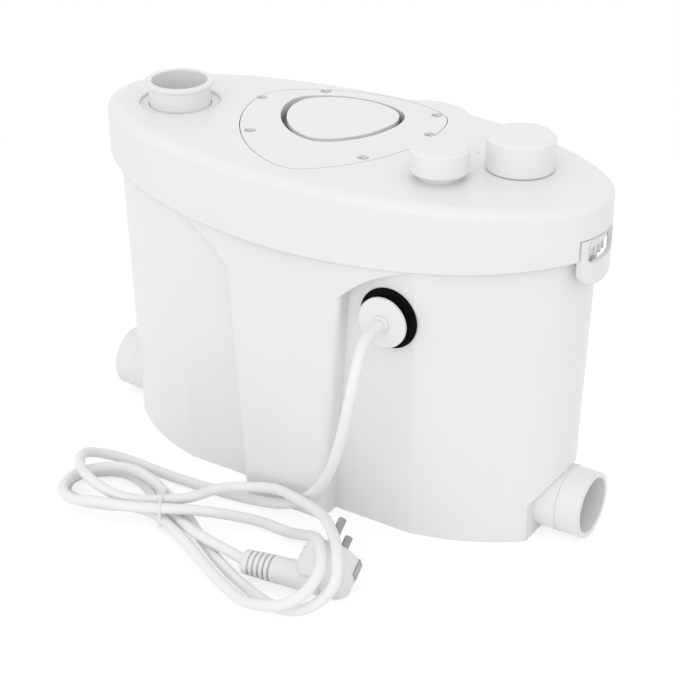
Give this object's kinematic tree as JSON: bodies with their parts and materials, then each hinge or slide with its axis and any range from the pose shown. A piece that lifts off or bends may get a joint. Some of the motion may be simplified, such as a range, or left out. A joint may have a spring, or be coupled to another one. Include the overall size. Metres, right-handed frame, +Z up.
{
  "type": "sewage lifting station",
  "caption": "Compact floor-standing sewage lifting station: oval tank with lift-off lid, capped inlets, lipped discharge socket, side spigots and a tied supply cord with plug.",
  "frame": {"origin": "on the floor under the middle of the oval lid", "axes": "+X along the length to the end with the two capped inlets, -Y to the front with the cord, +Z up"},
  "size_m": [0.3418, 0.2936, 0.2354],
  "materials": {
    "white_shell": "smooth, slightly glossy moulding",
    "white_cap": "smooth moulding",
    "white_insert": "satin moulding",
    "black_rubber": "soft, matt",
    "grey_rubber": "soft, matt",
    "cord_sheath": "light grey sheath",
    "plug_plastic": "light grey, satin",
    "tie_plastic": "thin white strap",
    "pin_metal": "turned, bright",
    "contact_metal": "sprung strip",
    "steel": "machined",
    "screw_steel": "cross slot",
    "stator_iron": "laminated iron with copper windings",
    "motor_paint": "dark enamel",
    "pump_plastic": "black moulding",
    "pipe_plastic": "grey pipe",
    "valve_rubber": "soft",
    "filter_foam": "charcoal foam",
    "capacitor_can": "drawn can",
    "terminal_plastic": "cream moulding",
    "box_plastic": "grey moulding"
  },
  "bodies": {
    "base": {"tank": "white_shell", "wc_inlet_sleeve": "black_rubber", "cable_grommet": "black_rubber", "cable_gland": "white_insert", "motor_housing": "motor_paint", "motor_end_cap": "motor_paint", "stator": "stator_iron", "lower_bearing": "steel", "upper_bearing": "steel", "shaft_seal": "valve_rubber", "pump_casing": "pump_plastic", "basket": "pipe_plastic", "rubber_feet": "grey_rubber", "discharge_pipe": "pipe_plastic", "valve_body": "pipe_plastic", "riser_pipe": "pipe_plastic", "discharge_sleeve": "black_rubber", "connection_box": "box_plastic", "connection_box_cover": "box_plastic", "capacitor": "capacitor_can", "terminal_block": "terminal_plastic", "pressure_tube": "pipe_plastic", "pressure_switch": "box_plastic", "power_cord": "cord_sheath", "cord_hank": "cord_sheath", "cord_tail": "cord_sheath", "cord_tie": "tie_plastic", "plug_body": "plug_plastic", "plug_pins": "pin_metal", "plug_earth_contacts": "contact_metal"},
    "rotor": {"rotor_shaft": "steel", "rotor_core": "steel", "impeller": "pump_plastic", "cutter_blade": "steel", "cutter_nut": "steel"},
    "lid": {"lid": "white_shell", "service_cover": "white_cap", "service_cover_screws": "screw_steel", "charcoal_filter": "filter_foam", "lid_gasket": "grey_rubber", "discharge_socket": "white_insert"},
    "right_latch": {"latch_right": "white_shell"},
    "left_latch": {"latch_left": "white_shell"},
    "vent_lid": {"vent_lid": "white_cap"},
    "big_cap": {"big_inlet_cap": "white_insert"},
    "small_cap": {"small_inlet_cap": "white_insert"},
    "valve_leaf": {"valve_flap": "valve_rubber"},
    "plunger": {"switch_plunger": "terminal_plastic"},
    "right_flap": {"inlet_flap_right": "valve_rubber"},
    "left_flap": {"inlet_flap_left": "valve_rubber"}
  },
  "joints": [
    {"name": "rotor_spin", "type": "hinge", "parent": "base", "child": "rotor", "pos_m": [-0.014, 0, 0.09], "axis": [0, 0, 1], "continuous": true},
    {"name": "lid_lift", "type": "slide", "parent": "base", "child": "lid", "axis": [0, 0, 1], "range_m": [0, 0.03]},
    {"name": "right_latch_swing", "type": "hinge", "parent": "lid", "child": "right_latch", "pos_m": [0.1652, 0, 0.1955], "axis": [0, -1, 0], "range_deg": [0, 12]},
    {"name": "left_latch_swing", "type": "hinge", "parent": "lid", "child": "left_latch", "pos_m": [-0.1652, 0, 0.1955], "axis": [0, 1, 0], "range_deg": [0, 12]},
    {"name": "vent_lid_lift", "type": "slide", "parent": "lid", "child": "vent_lid", "axis": [0, 0, 1], "range_m": [0, 0.04]},
    {"name": "big_cap_pull", "type": "slide", "parent": "lid", "child": "big_cap", "axis": [0, 0, 1], "range_m": [0, 0.04]},
    {"name": "small_cap_pull", "type": "slide", "parent": "lid", "child": "small_cap", "axis": [0, 0, 1], "range_m": [0, 0.04]},
    {"name": "valve_flap_swing", "type": "hinge", "parent": "base", "child": "valve_leaf", "pos_m": [-0.1045, -0.0052, 0.1286], "axis": [0, 1, 0], "range_deg": [0, 50]},
    {"name": "plunger_stroke", "type": "slide", "parent": "base", "child": "plunger", "axis": [0, 0, -1], "range_m": [0, 0.002], "stiffness_N_per_m": 200},
    {"name": "right_flap_swing", "type": "hinge", "parent": "base", "child": "right_flap", "pos_m": [0.1375, 0, 0.0416], "axis": [0, 1, 0], "range_deg": [0, 60]},
    {"name": "left_flap_swing", "type": "hinge", "parent": "base", "child": "left_flap", "pos_m": [-0.1375, 0, 0.0416], "axis": [0, -1, 0], "range_deg": [0, 60]}
  ],
  "couplings": [
    {"joint": "right_latch_swing", "follows": "lid_lift", "rad_per_m": 6.98},
    {"joint": "left_latch_swing", "follows": "lid_lift", "rad_per_m": 6.98}
  ]
}
